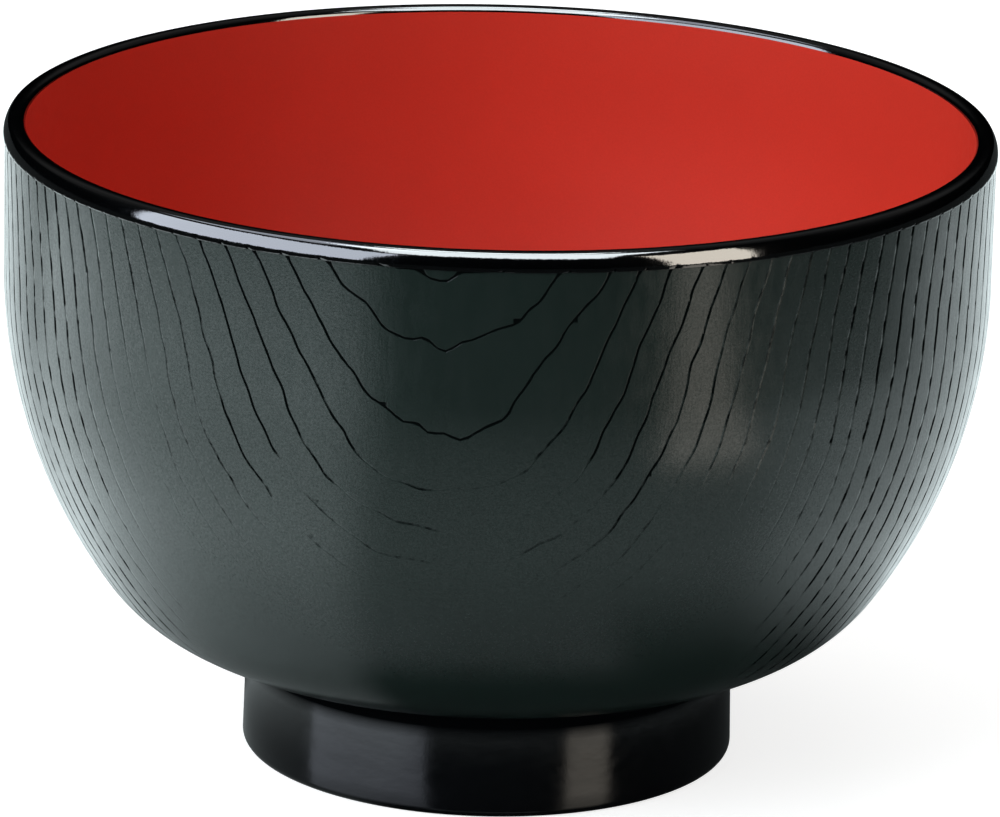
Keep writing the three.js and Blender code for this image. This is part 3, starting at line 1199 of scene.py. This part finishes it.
class StageNodes(Nodes):
    """Nodes of the floor and the surroundings, which the camera and the gloss see differently."""

    def __init__(self, tree):
        super().__init__(tree)
        rays = self.add("ShaderNodeLightPath", {}).outputs
        self.seen = rays["Is Camera Ray"]
        self.gloss = rays["Is Glossy Ray"]

    def side(self, place, middle, half, blur):
        """1 for places up to half, in degrees, to either side of a middle azimuth, and 0 for others."""
        turned = self.vector("NORMALIZE", self.vector("MULTIPLY", place, LEVEL_PART))
        azimuth = math.radians(middle)
        way = (math.sin(azimuth), -math.cos(azimuth), 0.0)
        towards = self.vector("DOT_PRODUCT", turned, way, output="Value")
        low = math.cos(math.radians(half + blur))
        return self.rise(towards, (low, math.cos(math.radians(half - blur))))


def floor_glow(nodes, stage):
    """Light painted on the floor for the gloss: most on the left, less on the right, least in front, with
    the bowl's painted shadow round the foot.
    """
    place = nodes.where("Object")
    from_axis = nodes.vector("LENGTH", place, output="Value")
    front = nodes.blend(nodes.rise(from_axis, NEAR_FLOOR), stage.near_floor, stage.far_floor)
    far = nodes.rise(from_axis, SIDE_FAR)
    right = nodes.blend(far, stage.right_floor, stage.right_far)
    left = nodes.blend(far, stage.left_floor, stage.left_far)
    shown = nodes.blend(nodes.side(place, *RIGHT_SIDE), front, right)
    shown = nodes.blend(nodes.side(place, *FLOOR_BEHIND), shown, stage.back_floor)
    from_shade = nodes.vector("DISTANCE", place, SHADE_MIDDLE, output="Value")
    shade = nodes.blend(nodes.rise(from_shade, FOOT_SHADE), LEAST_SHADE, 1.0)
    shown = nodes.math("MULTIPLY", shown, shade)
    left_shade = nodes.blend(nodes.rise(from_axis, LEFT_SHADE), LEAST_LEFT, 1.0)
    left = nodes.math("MULTIPLY", left, left_shade)
    shown = nodes.blend(nodes.side(place, *LEFT_SIDE), shown, left)
    return nodes.blend(nodes.rise(from_axis, SHEET_EDGE), shown, BEYOND_SHEET)


def floor_mirror(nodes, stage):
    """How much the floor mirrors where the gloss shows it: only next to the foot."""
    from_axis = nodes.vector("LENGTH", nodes.where("Object"), output="Value")
    level = nodes.blend(nodes.rise(from_axis, GLOSSY_FLOOR), stage.floor_shine, 0.0)
    return nodes.math("MULTIPLY", level, nodes.gloss)


def pale_floor(stage):
    """A pale matt finish that the camera sees as white. The gloss sees it black, with painted light and the
    bowl's painted shadow glowing on it and a mirror next to the foot.
    """
    material = bpy.data.materials.new("pale_floor")
    material.use_nodes = True
    nodes = StageNodes(material.node_tree)
    inputs = material.node_tree.nodes["Principled BSDF"].inputs
    inputs["Roughness"].default_value = FLOOR_ROUGHNESS
    nodes.feed(inputs["Specular IOR Level"], floor_mirror(nodes, stage))
    tint = nodes.vector("MULTIPLY", nodes.gloss, GLOSS_TINT_LESS)
    nodes.feed(inputs["Emission Color"], nodes.vector("ADD", tint, WHITE))
    pale = nodes.math("MULTIPLY_ADD", nodes.gloss, -stage.floor, stage.floor)
    nodes.feed(inputs["Base Color"], pale)
    shown = nodes.math("MULTIPLY", floor_glow(nodes, stage), nodes.gloss)
    glow = nodes.math("MULTIPLY_ADD", nodes.seen, stage.floor_fill, shown)
    nodes.feed(inputs["Emission Strength"], glow)
    return material


def lay_floor(stage):
    """A wide floor that keeps the bowl's shadow."""
    mesh = bmesh.new()
    bmesh.ops.create_grid(mesh, x_segments=1, y_segments=1, size=FLOOR_HALF)
    data = bpy.data.meshes.new("floor")
    mesh.to_mesh(data)
    mesh.free()
    floor = bpy.data.objects.new("floor", data)
    bpy.context.scene.collection.objects.link(floor)
    data.materials.append(pale_floor(stage))


def light_world(scene, stage):
    """Even soft light, white where the camera looks, with a dim wall behind in the gloss."""
    world = bpy.data.worlds.new("surroundings")
    scene.world = world
    world.use_nodes = True
    nodes = StageNodes(world.node_tree)
    background = world.node_tree.nodes["Background"]
    background.inputs["Color"].default_value = (*WHITE, 1.0)
    way = nodes.where("Generated")
    high = nodes.rise(nodes.vector("DOT_PRODUCT", way, UPWARD, output="Value"), BACK_RISE)
    behind = nodes.math("MULTIPLY", nodes.side(way, *BACK_SIDE), high)
    behind = nodes.math("MULTIPLY", behind, stage.back_wall)
    level = nodes.blend(nodes.gloss, stage.ambient, behind)
    nodes.feed(background.inputs["Strength"], nodes.math("MAXIMUM", nodes.seen, level))


class Lamp(NamedTuple):
    """A soft rectangular lamp, for light or for gloss alone."""

    name: str
    place: Matrix
    size: tuple
    radiance: float
    tint: tuple
    gloss_only: bool = False


def hanging(azimuth, elevation):
    """The place of a lamp that hangs at a direction from the bowl and faces it."""
    turned = math.radians(azimuth)
    raised = math.radians(elevation)
    level = math.cos(raised)
    away = Vector((math.sin(turned) * level, -math.cos(turned) * level, math.sin(raised)))
    facing = (-away).to_track_quat("-Z", "Y").to_matrix().to_4x4()
    return Matrix.Translation(away * LAMP_DISTANCE + LAMP_AIM) @ facing


def lying(azimuth, distance):
    """The place of a bright card that lies on the floor face up, with its length along an azimuth."""
    turned = math.radians(azimuth)
    out = Vector((math.sin(turned), -math.cos(turned), 0))
    across = Vector((math.cos(turned), math.sin(turned), 0))
    facing = Matrix((across, -out, Vector((0, 0, -1)))).transposed().to_4x4()
    return Matrix.Translation(out * distance + CARD_LIFT) @ facing


# A wide cool lamp on the left, a narrow warm one on the right and a soft one above. Brighter ones
# near them only show in the gloss, and so does a card on the floor at the right.
LAMPS = (
    Lamp("left_light", hanging(-55, 32), (1.2, 0.8), 4.1, COOL),
    Lamp("left_gloss", hanging(-58.5, 21), (1.36, 0.82), 13.0, COOL_GLOSS, True),
    Lamp("right_light", hanging(52, 28), (0.4, 0.9), 1.3, WARM),
    Lamp("right_gloss", hanging(48.2, 18.5), (0.43, 0.91), 15.0, WARM_GLOSS, True),
    Lamp("top_light", hanging(180, 75), (0.9, 0.6), 1.0, WHITE),
    Lamp("top_back_gloss", hanging(180, 73), (0.36, 0.46), 22.0, COOL, True),
    Lamp("top_front_gloss", hanging(0, 66), (1.0, 1.1), 22.0, COOL, True),
    Lamp("top_left_gloss", hanging(-87, 66), (1.04, 0.49), 6.0, COOL_GLOSS, True),
    Lamp("right_card", lying(43, 0.37), (0.055, 0.46), 2.9, WARM, True),
)


def put_lamp(lamp):
    """Puts up a lamp with its brightness."""
    light = bpy.data.lights.new(lamp.name, "AREA")
    light.shape = "RECTANGLE"
    light.size, light.size_y = lamp.size
    light.energy = lamp.radiance * math.pi * lamp.size[0] * lamp.size[1]
    light.color = lamp.tint
    holder = bpy.data.objects.new(lamp.name, light)
    holder.matrix_world = lamp.place
    holder.visible_camera = False
    holder.visible_diffuse = not lamp.gloss_only
    holder.visible_glossy = lamp.gloss_only
    bpy.context.scene.collection.objects.link(holder)


def aim_camera(scene, stage):
    """The photograph's view."""
    lens = bpy.data.cameras.new("camera")
    lens.sensor_width = SENSOR_WIDTH
    lens.lens = stage.lens
    lens.clip_start = NEAREST_SEEN
    camera = bpy.data.objects.new("camera", lens)
    scene.collection.objects.link(camera)
    back = Vector((0, -math.cos(stage.elevation), math.sin(stage.elevation)))
    level = Vector((0, math.sin(stage.elevation), math.cos(stage.elevation)))
    side = Vector((1, 0, 0))
    right = math.cos(stage.roll) * side + math.sin(stage.roll) * level
    up = math.cos(stage.roll) * level - math.sin(stage.roll) * side
    aim = Vector((stage.aim_across, 0, stage.aim_up))
    turned = Matrix((right, up, back)).transposed().to_4x4()
    camera.matrix_world = Matrix.Translation(aim + back * stage.distance) @ turned
    scene.camera = camera


class BOWL_OT_set_stage(bpy.types.Operator):
    """Sets the floor, the lamps and the camera"""

    bl_idname = "bowl.set_stage"
    bl_label = "Set the stage"

    def execute(self, context):
        scene = context.scene
        stage = scene.bowl_stage
        lay_floor(stage)
        light_world(scene, stage)
        for lamp in LAMPS:
            put_lamp(lamp)
        aim_camera(scene, stage)
        scene.view_settings.view_transform = "Standard"
        return {"FINISHED"}


OPERATORS = (
    BOWL_OT_turn_core,
    BOWL_OT_lay_cloth,
    BOWL_OT_coat_belly,
    BOWL_OT_coat_rim,
    BOWL_OT_coat_foot,
    BOWL_OT_line_inside,
    BOWL_OT_set_stage,
)


class BOWL_PT_pieces(bpy.types.Panel):
    """Lists the steps of the build in the sidebar"""

    bl_idname = "BOWL_PT_pieces"
    bl_label = "Soup bowl"
    bl_space_type = "VIEW_3D"
    bl_region_type = "UI"
    bl_category = "Bowl"

    def draw(self, context):
        for operator in OPERATORS:
            self.layout.operator(operator.bl_idname)


SETTINGS = {
    "bowl_sizes": BowlSizes,
    "bowl_grain": GrainSettings,
    "bowl_colours": FinishColours,
    "bowl_stage": StageSettings,
}
CLASSES = (*SETTINGS.values(), *OPERATORS, BOWL_PT_pieces)


def register():
    """Registers the classes and hangs the settings on the scene."""
    for item in CLASSES:
        bpy.utils.register_class(item)
    for name, group in SETTINGS.items():
        setattr(bpy.types.Scene, name, bpy.props.PointerProperty(type=group))


def unregister():
    """Takes the settings and the classes away again."""
    for name in SETTINGS:
        delattr(bpy.types.Scene, name)
    for item in reversed(CLASSES):
        bpy.utils.unregister_class(item)


def main():
    """Builds the bowl in order."""
    register()
    bpy.ops.bowl.turn_core()
    bpy.ops.bowl.lay_cloth()
    bpy.ops.bowl.coat_belly()
    bpy.ops.bowl.coat_rim()
    bpy.ops.bowl.coat_foot()
    bpy.ops.bowl.line_inside()
    bpy.ops.bowl.set_stage()


if __name__ == "__main__":
    main()
